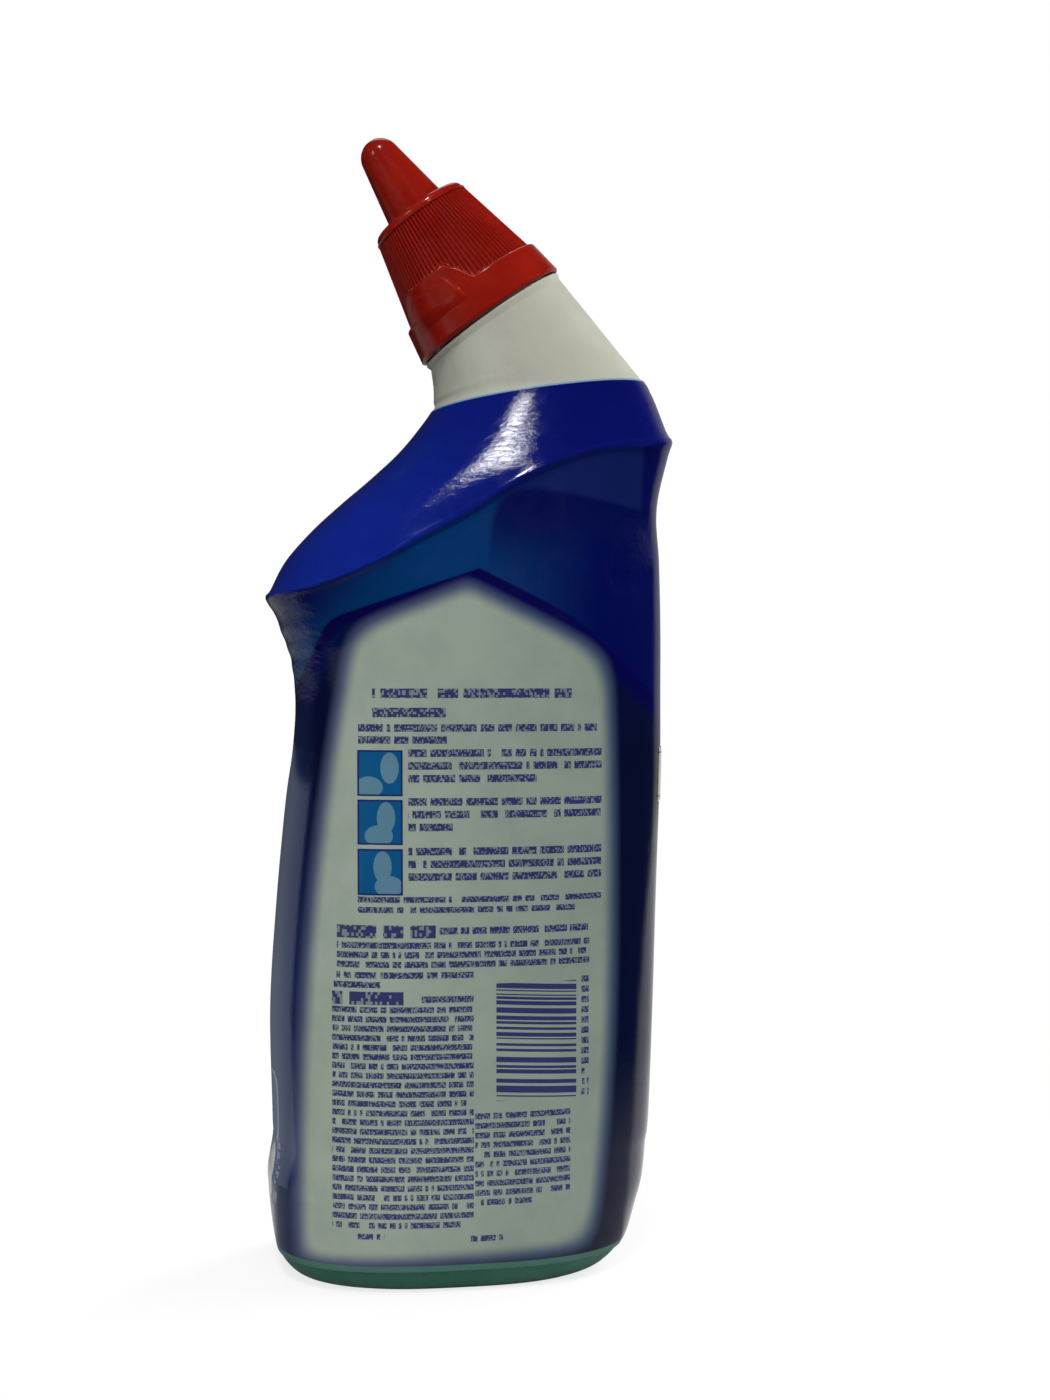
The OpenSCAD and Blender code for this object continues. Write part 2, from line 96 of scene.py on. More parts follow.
# The ridge bows up on the high side and down on the low side: height, middle and half width of
# each, the reach above and below the ridge, and the swell in depth where it is lowered
BOW_UP, BOW_DOWN = (4.7, 18.5, 18.5), (2.7, -31.0, 15.0)
BOW_ABOVE, BOW_BELOW, BOW_POWER, BOW_SWELL = 16.0, 20.0, 2.8, 0.035


def mix(a, b, t):
    return a + (b - a) * t


def neck_point(x, w):
    return RIM + x * ACROSS + w * UP


# Ends of the film's slanted top edge
FILM_LEFT, FILM_RIGHT = neck_point(-24.6, -10.8), neck_point(21.3, -34)


def curve(p, t):
    """Point at the share t of a cubic curve with four control points."""
    a, b, c, d = (np.asarray(q, float) for q in p)
    return (1 - t) ** 3 * a + 3 * t * (1 - t) ** 2 * b + 3 * t * t * (1 - t) * c + t ** 3 * d


def row(left, right, depth, square):
    return np.array([left[0], left[1], right[0], right[1], depth, square], float)


def body_rows():
    """Rows that the bottle's skin passes through: left end, right end, half depth, squareness."""
    w, d, f = HALF_W, HALF_D, FOOT_H
    rows = [
        row((-w + 9, 0), (w - 14, 0), d - 6, FOOT_SQUARE),
        row((-w + 5.1, f * 0.06), (w - 10.9, f * 0.07), d - 3.8, FOOT_SQUARE),
        row((-w + 2.5, f * 0.2), (w - 8, f * 0.2), d - 2.4, FOOT_SQUARE),
        row((-w + 1.5, f * 0.36), (w - 6, f * 0.36), d - 1.5, FOOT_SQUARE),
        row((-w + 0.6, f * 0.66), (w - 4.1, f * 0.66), d - 0.7, FOOT_SQUARE - 0.1),
        row((-w, f), (w - 2.2, f), d - 0.2, BODY_SQUARE),
    ]
    for t, left, right in ((0.07, 0.4, -1.4), (0.13, 1, -0.6), (0.36, 0.5, 0.4), (0.58, 2, 1.1),
                           (0.79, WAIST_IN * 0.64, 1.9), (0.9, WAIST_IN * 0.9, RIGHT_LEAN)):
        z = mix(f, WAIST_Z, t)
        rows.append(row((-w + left, z), (w + right, z), d, BODY_SQUARE))
    rows.append(row((-w + WAIST_IN, WAIST_Z), (w + RIGHT_LEAN, WAIST_Z + 2), d, BODY_SQUARE))
    chamfer = RIGHT_Z - CHAMFER_DROP
    rows += [
        row((-w + WAIST_IN * 0.85, mix(WAIST_Z, LEFT_Z, 0.4)),
            (w + RIGHT_LEAN, mix(WAIST_Z, chamfer, 0.38)), d, BODY_SQUARE),
        row((-w + WAIST_IN * 0.52, mix(WAIST_Z, LEFT_Z, 0.68)),
            (w + RIGHT_LEAN - 0.3, mix(WAIST_Z, chamfer, 0.72)), d, BODY_SQUARE),
        row((-w + WAIST_IN * 0.27, mix(WAIST_Z, LEFT_Z, 0.85)),
            (w + RIGHT_LEAN - 0.9, chamfer), d, BODY_SQUARE),
        row(RIDGE_L + (0.6, -RIDGE_BAND), RIDGE_R + (-1.2, -4), d + RIDGE_OUT * 0.4, BODY_SQUARE),
        row(RIDGE_L, RIDGE_R, d + RIDGE_OUT, BODY_SQUARE),
        row(RIDGE_L + (1.1, RIDGE_BAND), RIDGE_R + (-0.6, RIDGE_BAND), d + RIDGE_OUT * 0.8, 2.4),
    ]
    film_depth = NECK_R + 3.4
    left = (RIDGE_L, RIDGE_L + (5.7, 17), FILM_LEFT + (-11, -18), FILM_LEFT)
    right = (RIDGE_R, RIDGE_R + (-2.6, 5.5), FILM_RIGHT + (3, -4.6), FILM_RIGHT)
    depth = (d + RIDGE_OUT, d - 0.5, film_depth + 3, film_depth)
    for t in (0.18, 0.34, 0.5, 0.66, 0.82, 1):
        rows.append(row(curve(left, t), curve(right, t), curve(depth, t), mix(2.4, 2.1, t)))
    film_end = len(rows) - 1
    low_w = NECK_END - NECK_ROUND - 0.6
    low = row(neck_point(-NECK_R, low_w), neck_point(NECK_R, low_w), NECK_R, 2)
    side = (FILM_LEFT, FILM_LEFT + (0.7, 3), FILM_LEFT + (0.5, 6.5), low[:2])
    for t in (0.3, 0.62):
        rows.append(row(curve(side, t), mix(FILM_RIGHT, low[2:4], t), mix(film_depth, NECK_R, t),
                        2.05))
    rows.append(low)
    return np.array(rows), film_end


ROWS, FILM_END = body_rows()


def row_at(t):
    """Row at the share t along the rows, on a smooth curve through them."""
    i = min(int(t), len(ROWS) - 2)
    u = t - i
    p0, p1, p2, p3 = (ROWS[min(max(k, 0), len(ROWS) - 1)] for k in (i - 1, i, i + 1, i + 2))
    return 0.5 * (2 * p1 + (p2 - p0) * u + (2 * p0 - 5 * p1 + 4 * p2 - p3) * u * u
                  + (3 * p1 - p0 - 3 * p2 + p3) * u ** 3)


def shares(first, last, pitch):
    """Shares along the rows from first to last, about pitch millimetres apart."""
    fine = np.linspace(first, last, 1200)
    pts = np.array([row_at(t) for t in fine])
    step = np.abs(np.diff(pts[:, [0, 1, 2, 3]], axis=0))
    length = np.maximum(np.hypot(step[:, 0], step[:, 1]), np.hypot(step[:, 2], step[:, 3]))
    total = np.concatenate(([0], np.cumsum(length)))
    count = max(2, int(round(total[-1] / pitch)) + 1)
    return np.interp(np.linspace(0, total[-1], count), total, fine)


def bow(p):
    """Lifts points in the front view near the ridge, so that it runs as a long S over the bottle."""
    x = p[:, 0]
    high, low = (h * np.exp(-np.abs((x - c) / w) ** BOW_POWER) for h, c, w in (BOW_UP, BOW_DOWN))
    off = p[:, 2] - RIDGE_MID - RIDGE_SLOPE * x
    above, below = np.clip(1 - off / BOW_ABOVE, 0, 1), np.clip(1 + off / BOW_BELOW, 0, 1)
    share = np.where(off > 0, above ** 2, below * below * (3 - 2 * below))
    share *= np.clip((HALF_W + 3 - np.abs(x)) / 4, 0, 1)
    p[:, 2] += (high - low) * share
    p[:, 1] *= 1 + BOW_SWELL * low * share
    return p


def ring(r, grow, count):
    """Evenly spaced points of a row's section, from the right flank round by the back."""
    a = np.linspace(0, 2 * math.pi, 1441)
    e = 2 / r[5]
    left, right = r[0:2], r[2:4]
    middle, reach = (left + right) / 2, np.linalg.norm(right - left) / 2
    along = (right - left) / (2 * reach)
    u = np.sign(np.cos(a)) * np.abs(np.cos(a)) ** e * (reach + grow)
    v = np.sign(np.sin(a)) * np.abs(np.sin(a)) ** e * (r[4] + grow)
    s = np.concatenate(([0], np.cumsum(np.hypot(np.diff(u), np.diff(v)))))
    k = np.linspace(0, s[-1], count + 1)[:-1]
    u, v = np.interp(k, s, u), np.interp(k, s, v)
    return bow(np.stack([middle[0] + along[0] * u - CENTRE_X, v, middle[1] + along[1] * u], 1))


def neck_ring(r, w, count):
    """Circle of radius r round the neck axis at the height w, with the points of ring()."""
    a = np.linspace(0, 2 * math.pi, count + 1)[:-1]
    centre = RIM + w * UP
    x, y = r * np.cos(a), r * np.sin(a)
    return np.stack([centre[0] - CENTRE_X + x * ACROSS[0], y, centre[1] + x * ACROSS[1]], 1)


def add_mesh(name, rings, closed=False, first=None, last=None, split=40):
    """Smooth mesh through rings of equal length: a loop if closed, or else with a fan at each end."""
    m, n = len(rings), len(rings[0])
    points = np.concatenate(rings)
    k = np.arange(n)
    faces = []
    for j in range(m if closed else m - 1):
        a, b = j * n, ((j + 1) % m) * n
        faces.append(np.stack([a + k, a + (k + 1) % n, b + (k + 1) % n, b + k], 1))
    faces = np.concatenate(faces).tolist()
    if not closed:
        points = np.concatenate([points, [first, last]])
        faces += [[m * n, (i + 1) % n, i] for i in range(n)]
        faces += [[m * n + 1, (m - 1) * n + i, (m - 1) * n + (i + 1) % n] for i in range(n)]
    mesh = bpy.data.meshes.new(name)
    mesh.from_pydata((points * MM).tolist(), [], faces)
    mesh.update()
    mesh.shade_smooth()
    mesh.set_sharp_from_angle(angle=math.radians(split))
    piece = bpy.data.objects.new(name, mesh)
    bpy.context.scene.collection.objects.link(piece)
    return piece


# Bottle: skin, neck, finish and inside as one closed surface
BOTTLE_COLUMNS = 144


def bottle_rings():
    n = BOTTLE_COLUMNS
    sole = ring(ROWS[0], 0, n)
    middle = np.array([(ROWS[0][0] + ROWS[0][2]) / 2 - CENTRE_X, 0])

    def shrink(share, z):
        flat = middle + (sole[:, :2] - middle) * share
        return np.column_stack([flat, np.full(n, z)])

    rings = [shrink(s, z) for s, z in ((0.25, PUSH_UP), (0.5, PUSH_UP), (0.62, PUSH_UP * 0.94),
                                       (0.74, PUSH_UP * 0.66), (0.8, PUSH_UP * 0.3), (0.84, 0.05),
                                       (0.87, 0), (0.97, 0))]
    for first, last, pitch in ((0, 4, FOOT_PITCH), (4.05, FILM_END - 1.05, BODY_PITCH),
                               (FILM_END - 1, len(ROWS) - 1, SHOULDER_PITCH)):
        rings += [ring(row_at(t), 0, n) for t in shares(first, last, pitch)]
    for a in (0, 22, 45, 68, 90):
        s, c = math.sin(math.radians(a)), math.cos(math.radians(a))
        rings.append(neck_ring(NECK_R + NECK_FLARE * (c - 0.25), NECK_END + NECK_FLARE * (s - 1), n))
    for r, w in ((FINISH_R + 0.4, NECK_END), (FINISH_R, NECK_END + 0.4), (FINISH_R, 5.8),
                 (FINISH_R + 0.7, 6.5), (FINISH_R, 7.2), (FINISH_R, FINISH_H - 0.3),
                 (FINISH_R - 0.3, FINISH_H), (BORE_R + 0.2, FINISH_H), (BORE_R, FINISH_H - 0.2),
                 (BORE_R, NECK_END - 1.2), (NECK_R - WALL - 0.6, NECK_END - NECK_ROUND - WALL)):
        rings.append(neck_ring(r, w, n))
    inside = [ring(row_at(t), -WALL, n) for t in shares(3, len(ROWS) - 1.2, INSIDE_PITCH)]
    floor_ring = inside[0].copy()
    floor_ring[:, :2] = middle + (floor_ring[:, :2] - middle) * 0.9
    floor_ring[:, 2] = PUSH_UP + WALL
    rings += inside[::-1] + [floor_ring]
    return rings, np.array([middle[0], 0, PUSH_UP]), np.array([middle[0], 0, PUSH_UP + WALL])


rings, first, last = bottle_rings()
bottle = add_mesh("bottle_shell", rings, False, first, last)

# Shrink sleeve: fine outer skin with crinkles, coarse inner skin
SLEEVE_COLUMNS = 300


def bump_at(p, x, z, wide, high):
    """Soft spot of height 1 round the point (x, z) in the front view."""
    return np.exp(-((p[:, 0] - x) / wide) ** 2 - ((p[:, 2] - z) / high) ** 2)


def crinkles(p):
    """Outward height of the film's creases and puckers, in millimetres."""
    x, y, z = p.T
    front = 1 / (1 + np.exp((y + 2) / 2))
    height = np.zeros(len(p))
    # Puckers where the film gathers round the low shoulder corner
    fan = np.sin(1.15 * z + 0.35 * x + 2.2 * np.sin(0.21 * x - 0.13 * z))
    height += 0.10 * fan * bump_at(p, -42, 148, 6, 9)
    fan = np.sin(2.7 * z + 0.5 * x + 1.1 * np.sin(0.6 * x))
    height += 0.055 * fan * bump_at(p, -38.5, 162.5, 6, 3.4) * front
    # Round dent in the hollow under the high shoulder corner
    away = np.hypot(x - 40, z - 166.5)
    fade = 1 / (1 + np.exp((160 - z) / 1.5)) / (1 + np.exp((x - 41) / 1.5))
    height -= 0.42 * np.clip((12.2 - away) / 1.3, 0, 1) * fade * front
    fan = np.sin(1.7 * z - 0.9 * x + 1.6 * np.sin(0.5 * z))
    height += 0.05 * fan * bump_at(p, 34, 169, 5, 6) * front
    # Dent and crease low on the left flank
    height -= 0.45 * bump_at(p, -46, 29.8, 5, 3.0)
    height += 0.3 * bump_at(p, -46, 22.8, 5, 2.0)
    height += 0.2 * bump_at(p, -40, 20.5, 3, 0.9) * front
    # Row of tear perforations down the right flank
    line = np.exp(-(y / 0.7) ** 2) * (x > 0) * (z > 20) * (z < 186)
    return height - 0.17 * line * (0.5 + 0.5 * np.cos(2 * math.pi * z / 2.6))


def sleeve_rings():
    """Rings up the film's outer skin, each pushed out by the crinkles, and down its inner skin."""
    n = SLEEVE_COLUMNS
    outer = FILM_GAP + FILM_T
    foot = np.linspace(0, 6, 600)
    low = np.interp(FILM_Z, [row_at(t)[1] for t in foot], foot)
    rings = []
    for t in shares(low, FILM_END, SLEEVE_PITCH):
        p = ring(row_at(t), outer, n)
        side = np.roll(p, -1, 0) - np.roll(p, 1, 0)
        out = np.stack([side[:, 1], -side[:, 0], 0 * side[:, 0]], 1)
        out /= np.linalg.norm(out, axis=1)[:, None]
        rings.append(p + out * crinkles(p)[:, None])
    inner = [ring(row_at(t), FILM_GAP, n) for t in shares(low, FILM_END, SLEEVE_INSIDE_PITCH)]
    return rings + inner[::-1]


sleeve = add_mesh("shrink_sleeve", sleeve_rings(), closed=True)

# Cap: skin of revolution about the neck axis, with ribs and squeeze pads raised out of it
CAP_COLUMNS = 540
THETA = np.linspace(0, 2 * math.pi, CAP_COLUMNS + 1)[:-1]
SKIRT_TOP = RIM_R - 1.3
RIB_LOW, RIB_HIGH = 7.0, 27.5
LIP_W, LEDGE_ROUND, DECK_ROUND, SPOUT_FILLET = -0.3, 0.6, 1.5, 0.7
PAD_HIGH, FACE_LOW, FACE_HIGH = 14.8, 4.6, 12.2
CAP_WALL, HOLE_R, SKIRT_INSIDE_R = 1.3, 1.55, 17.3


def step(edge0, edge1, x):
    """Smooth step from 0 at edge0 to 1 at edge1."""
    t = np.clip((x - edge0) / (edge1 - edge0), 0, 1)
    return t * t * (3 - 2 * t)


def grip_radius(w):
    return mix(GRIP_R, DECK_R + 0.45, (w - RIB_LOW) / (RIB_HIGH - RIB_LOW))


def tongue(side, w, low, low_half, high, high_half):
    """How far a point lies inside a tongue with slanted sides and cut corners, in millimetres."""
    half = mix(low_half, high_half, (w - low) / (high - low))
    corner = (high + high_half * 0.86 - w - np.abs(side)) * 0.75
    return np.minimum(np.minimum(half - np.abs(side), high - w), corner)


def cap_skin(w):
    """Radius all round at the height w of the skirt, ledge and grip."""
    angle = np.degrees(THETA)
    skirt = np.interp(w, [LIP_W, 0.1, SKIRT_H - LEDGE_ROUND], [RIM_R - 0.3, RIM_R, SKIRT_TOP])
    over = np.clip((w - SKIRT_H + LEDGE_ROUND) / LEDGE_ROUND, 0, 1)
    skirt -= LEDGE_ROUND * (1 - math.sqrt(1 - over ** 2))
    wave = np.abs(((THETA * RIBS / (2 * math.pi)) % 1) - 0.5) * 2
    valley = RIB_DEPTH * step(0.15, 0.85, wave)
    grip = grip_radius(w) - valley * np.clip((w - RIB_LOW) / 1.5, 0, 1)
    base = np.full(CAP_COLUMNS, skirt) if w < SKIRT_H else grip
    pad_r = SKIRT_TOP + np.interp(w, [0, SKIRT_H, PAD_HIGH - 0.5, PAD_HIGH],
                                  [-0.15, -0.15, -1.25, -1.75])
    face_r = SKIRT_TOP + np.interp(w, [FACE_LOW, FACE_LOW + 1.8, SKIRT_H - 0.5, FACE_HIGH],
                                   [0.55, 0.6, 0.55, -0.35])
    for k in (0, 1):
        turn = (angle - (PAD_TURN - 90 + 180 * k) + 180) % 360 - 180
        side = SKIRT_TOP * np.radians(turn)
        near = np.abs(turn) < 90
        inside = step(0, 0.45, tongue(side, w, RIB_LOW, 13.0, PAD_HIGH, 8.4)) * near
        if w >= RIB_LOW:
            base = mix(base, np.maximum(base, pad_r), inside)
        face = tongue(side, w, FACE_LOW, 8.4, FACE_HIGH, 6.2)
        face = np.minimum(face, (w - FACE_LOW) * 0.5)
        base = mix(base, np.maximum(base, face_r), step(0, 0.4, face) * near)
    return base


def cap_rings():
    """Rings from the lip up the outside to the tip, and down the inside back to the lip."""

    def circle(r, w):
        r = np.broadcast_to(r, CAP_COLUMNS)
        x, y = r * np.cos(THETA), r * np.sin(THETA)
        centre = RIM + w * UP
        return np.stack([centre[0] - CENTRE_X + x * ACROSS[0], y, centre[1] + x * ACROSS[1]], 1)

    rings = [circle(RIM_R - 0.8, 1.2), circle(RIM_R - 0.7, LIP_W + 0.1), circle(RIM_R - 0.6, LIP_W),
             circle(RIM_R - 0.35, LIP_W)]
    for low, high, pitch in ((LIP_W + 0.1, 0.2, 0.1), (0.8, 4.4, 0.6), (4.5, 7.5, 0.26),
                             (7.6, 8.5, 0.06), (8.6, 15.6, 0.25), (16, 28, 1.0)):
        rings += [circle(cap_skin(w), w) for w in np.arange(low, high, pitch)]
    ring_w = DECK_H - DECK_ROUND - 0.6
    ring_r = grip_radius(ring_w) + 0.1
    rings += [circle(cap_skin(ring_w - 0.05), ring_w - 0.05), circle(ring_r - 0.06, ring_w),
              circle(ring_r, ring_w + 0.1), circle(ring_r - 0.02, ring_w + 0.45)]
    for a in range(0, 91, 9):
        c, s = math.cos(math.radians(a)), math.sin(math.radians(a))
        rings.append(circle(DECK_R - DECK_ROUND * (1 - c), DECK_H - DECK_ROUND * (1 - s)))
    for a in range(0, 91, 18):
        c, s = math.cos(math.radians(a)), math.sin(math.radians(a))
        rings.append(circle(SPOUT_R + SPOUT_FILLET * (1 - s), DECK_H + SPOUT_FILLET * (1 - c)))
    base_w, top = DECK_H + SPOUT_FILLET, CAP_TOP - TIP_R
    for t in np.linspace(0.08, 1, 10):
        rings.append(circle(mix(SPOUT_R, TIP_R * math.cos(math.radians(8)), t),
                            mix(base_w, top + 0.67, t)))
    for a in range(14, 70, 7):
        c, s = math.cos(math.radians(a)), math.sin(math.radians(a))
        rings.append(circle(TIP_R * c, top + TIP_R * s))
    for r, w in ((HOLE_R + 0.15, CAP_TOP - 0.32), (HOLE_R, CAP_TOP - 0.5), (HOLE_R, top + 2.7),
                 (TIP_R - CAP_WALL, top), (SPOUT_R - CAP_WALL, DECK_H),
                 (SPOUT_R - CAP_WALL, DECK_H - CAP_WALL),
                 (DECK_R - CAP_WALL - RIB_DEPTH, DECK_H - CAP_WALL),
                 (GRIP_R - CAP_WALL - RIB_DEPTH, SKIRT_H), (SKIRT_INSIDE_R, 4.5),
                 (SKIRT_INSIDE_R, 2.1), (SKIRT_INSIDE_R + 1.1, 1.5)):
        rings.append(circle(r, w))
    return rings


cap = add_mesh("ribbed_cap", cap_rings(), closed=True, split=50)


# Material nodes
def colour(*c):
    return (*c, 1.0)


class Graph:
    """Short way to write a material's nodes: numbers and sockets both serve as inputs."""

    def __init__(self, name, **base):
        self.material = bpy.data.materials.new(name)
        self.material.use_nodes = True
        self.tree = self.material.node_tree
        self.shader = self.tree.nodes["Principled BSDF"]
        for key, value in base.items():
            self.shader.inputs[key.replace("_", " ")].default_value = value
        place = self.add("ShaderNodeTexCoord")
        scale = self.add("ShaderNodeVectorMath", operation="SCALE")
        self.tree.links.new(place.outputs["Object"], scale.inputs[0])
        scale.inputs["Scale"].default_value = 1 / MM
        self.place = scale.outputs[0]
        split = self.add("ShaderNodeSeparateXYZ")
        self.tree.links.new(self.place, split.inputs[0])
        self.x, self.y, self.z = split.outputs

    def add(self, kind, **settings):
        node = self.tree.nodes.new(kind)
        for key, value in settings.items():
            setattr(node, key, value)
        return node

    def put(self, socket, value):
        if isinstance(value, bpy.types.NodeSocket):
            self.tree.links.new(value, socket)
        else:
            socket.default_value = value

    def math(self, operation, *values):
        node = self.add("ShaderNodeMath", operation=operation)
        for socket, value in zip(node.inputs, values):
            self.put(socket, value)
        return node.outputs[0]

    def sum(self, *values):
        total = values[0]
        for value in values[1:]:
            total = self.math("ADD", total, value)
        return total

    def times(self, *values):
        total = values[0]
        for value in values[1:]:
            total = self.math("MULTIPLY", total, value)
        return total

    def power(self, value, exponent):
        """Size of the value, whatever its sign, to the power."""
        return self.math("POWER", self.math("ABSOLUTE", value), exponent)

    def ramp(self, value, low, high, to_low=0.0, to_high=1.0):
        """Smooth step from to_low where the value is low to to_high where it is high."""
        node = self.add("ShaderNodeMapRange", interpolation_type="SMOOTHSTEP")
        keys = ("Value", "From Min", "From Max", "To Min", "To Max")
        for key, v in zip(keys, (value, low, high, to_low, to_high)):
            self.put(node.inputs[key], v)
        return node.outputs[0]

    def line(self, a, b, c):
        """a x + b z + c"""
        return self.sum(self.times(self.x, a), self.times(self.z, b), c)

    def spot(self, x, z, wide, high):
        """1 at the point (x, z) of the front view, falling to 0 at an ellipse round it."""
        u = self.power(self.times(self.math("SUBTRACT", self.x, x), 1 / wide), 2)
        v = self.power(self.times(self.math("SUBTRACT", self.z, z), 1 / high), 2)
        return self.ramp(self.math("ADD", u, v), 1.0, 0.0)

    def noise(self, scale, detail=3.0, rough=0.5, stretch=(1, 1, 1), distortion=0.0):
        place = self.add("ShaderNodeMapping")
        self.put(place.inputs["Vector"], self.place)
        place.inputs["Scale"].default_value = stretch
        node = self.add("ShaderNodeTexNoise")
        self.put(node.inputs["Vector"], place.outputs[0])
        keys = ("Scale", "Detail", "Roughness", "Distortion")
        for key, v in zip(keys, (scale, detail, rough, distortion)):
            node.inputs[key].default_value = v
        return node.outputs[0]

    def cells(self, u, v):
        """A random number from 0 to 1 for each pair of whole numbers."""
        pair = self.add("ShaderNodeCombineXYZ")
        self.put(pair.inputs[0], u)
        self.put(pair.inputs[1], v)
        node = self.add("ShaderNodeTexWhiteNoise", noise_dimensions="2D")
        self.put(node.inputs["Vector"], pair.outputs[0])
        return node.outputs["Value"]

    def blend(self, low, high, factor, mode="MIX"):
        node = self.add("ShaderNodeMix", data_type="RGBA", blend_type=mode)
        self.put(node.inputs[0], factor)
        self.put(node.inputs[6], low)
        self.put(node.inputs[7], high)
        return node.outputs[2]

    def bump(self, height, distance):
        node = self.add("ShaderNodeBump")
        node.inputs["Distance"].default_value = distance * MM
        node.inputs["Strength"].default_value = 1.0
        self.put(node.inputs["Height"], height)
        self.put(self.shader.inputs["Normal"], node.outputs[0])


def dress(piece, graph):
    piece.data.materials.clear()
    piece.data.materials.append(graph.material)


def print_film():
    """Printed film: fields of blue, a pale panel with a blurred edge, and greeked text on it, with
    painted shade and painted reflections on the blue and the panel.
    """
    g = Graph("film_print", Roughness=0.1, IOR=1.5)
    x, z = g.x, g.z
    front = g.ramp(g.y, 3.0, -3.0)

    # Shoulder, and the fields between the ridge and the panel, some of them painted reflection and
    # shade: height over the bowed ridge
    royal = g.blend(colour(0.004, 0.016, 0.225), colour(0.002, 0.004, 0.105), g.ramp(x, -34.0, 26.0))
    up, down = (g.times(g.math("EXPONENT", g.times(
        g.power(g.times(g.sum(x, -c), 1 / w), BOW_POWER), -1.0)), h) for h, c, w in (BOW_UP, BOW_DOWN))
    ridge = g.sum(g.line(-RIDGE_SLOPE, 1.0, -RIDGE_MID - 0.1), g.times(up, -1.0), down)
    lower = g.blend(colour(0.0008, 0.034, 0.145), colour(0.0005, 0.003, 0.075), g.ramp(x, -8.0, 30.0))
    lower = g.blend(lower, colour(0.001, 0.003, 0.080),
                    g.ramp(g.line(0.75, -0.66, 126.5), 4.0, -9.0))
    # Painted reflection: a lighter patch below the ridge on the right
    painted_reflection = g.times(g.ramp(x, -1.0, 9.0), g.ramp(x, 38.8, 37.2), g.ramp(z, 168.0, 178.0))
    lower = g.blend(lower, colour(0.005, 0.012, 0.100), painted_reflection)
    # Painted reflection: a darker round field on the right, darkest towards the top
    dark_reflection_edge = g.math("SMOOTH_MAX", g.sum(1.4, g.times(x, -1.0)), g.line(0.16, 1.0, -184.2), 20.0)
    lower = g.blend(lower, colour(0.001, 0.003, 0.066),
                    g.times(g.ramp(dark_reflection_edge, 0.6, -0.8), g.ramp(z, 161.0, 178.0, 0.08, 0.92)))
    # Painted shade: a dark line just under the ridge
    lower = g.blend(lower, colour(0.0005, 0.003, 0.060), g.times(g.ramp(ridge, -2.2, -1.2), 0.6))
    ink = g.blend(lower, royal, g.ramp(ridge, -1.2, 0.2))

    # Chevron and the navy field below it
    arm_r = g.math("SMOOTH_MAX", g.line(0.44, 0.9, -146.9), g.line(0.66, 0.75, -128.5), 3.0)
    arm_l = g.math("SMOOTH_MAX", g.line(-0.32, 0.95, -155.8), g.line(-0.91, 0.41, -93.9), 4.0)
    chevron = g.math("MAXIMUM", arm_r, arm_l)
    navy = g.blend(colour(0.001, 0.004, 0.045), colour(0.0015, 0.004, 0.026), g.ramp(z, 150.0, 120.0))
    navy = g.blend(navy, colour(0.006, 0.016, 0.070), g.ramp(x, -36.0, -42.0))
    ink = g.blend(ink, navy, g.ramp(chevron, 0.6, -5.0))
    ink = g.blend(ink, colour(0.0015, 0.001, 0.062),
                  g.times(g.ramp(chevron, 0.5, -0.2), g.ramp(chevron, -5.0, -1.5)))

    # Pale panel: distance outside the middle of its blurred edge, in millimetres
    bulge = g.power(g.math("SUBTRACT", z, 25.0), 2.0)
    left = g.sum(-40.9, g.times(bulge, 0.00079), g.times(x, -1.0))
    bulge = g.power(g.math("SUBTRACT", z, 82.0), 2.0)
    share = g.math("ADD", g.times(g.math("LESS_THAN", z, 82.0), 0.00055), 0.00035)
    right = g.sum(x, -29.9, g.times(bulge, share))
    foot = g.line(0.025, -1.0, 8.1)
    edge_l = g.math("SMOOTH_MAX", g.math("SMOOTH_MAX", left, foot, 6.0),
                    g.line(-0.371, 0.928, -149.6), 8.0)
    edge_r = g.math("SMOOTH_MAX", g.math("SMOOTH_MAX", right, foot, 12.0),
                    g.line(0.44, 0.898, -141.9), 12.0)
    edge = g.math("SMOOTH_MAX", edge_l, edge_r, 3.0)
    # The pale panel and its hazy edge are print; their fall from lighter on the left to darker on the
    # right is painted shade
    pale_print_and_shade = g.blend(colour(0.335, 0.395, 0.325), colour(0.245, 0.300, 0.250), g.ramp(x, -34.0, 24.0))
    haze_print_and_shade = g.blend(colour(0.075, 0.095, 0.175), colour(0.050, 0.080, 0.140), g.ramp(x, -30.0, 20.0))
    ink = g.blend(ink, haze_print_and_shade, g.times(g.ramp(edge, 3.0, 0.0), front))
    ink = g.blend(ink, pale_print_and_shade, g.times(g.ramp(edge, 1.0, -2.6), front))

    # Greeked text: rows of word-long bars, broken up finely. The last row may end early
    def text(x0, x1, top, rows, pitch, share, letter, seed, ends=None):
        depth = g.times(g.math("SUBTRACT", top, z), 1 / pitch)
        line = g.math("FLOOR", depth)
        band = g.math("LESS_THAN", g.math("FRACT", depth), share)
        inside = g.times(g.math("COMPARE", depth, rows / 2, rows / 2),
                         g.math("COMPARE", x, (x0 + x1) / 2, (x1 - x0) / 2))
        letters = g.cells(g.math("FLOOR", g.times(x, 1 / letter)), g.math("ADD", line, seed))
        marks = g.cells(g.math("FLOOR", g.times(x, 2.9 / letter)),
                        g.math("FLOOR", g.times(z, 4.0 / (pitch * share))))
        full = g.math("GREATER_THAN", letters, 0.14)
        weight = g.math("ADD", g.times(g.math("GREATER_THAN", marks, 0.33), 0.54), 0.46)
        mask = g.times(band, inside, full, weight)
        if ends is not None:
            last = g.times(g.math("GREATER_THAN", line, rows - 1.5),
                           g.math("GREATER_THAN", x, ends))
            mask = g.times(mask, g.math("SUBTRACT", 1.0, last))
        return mask

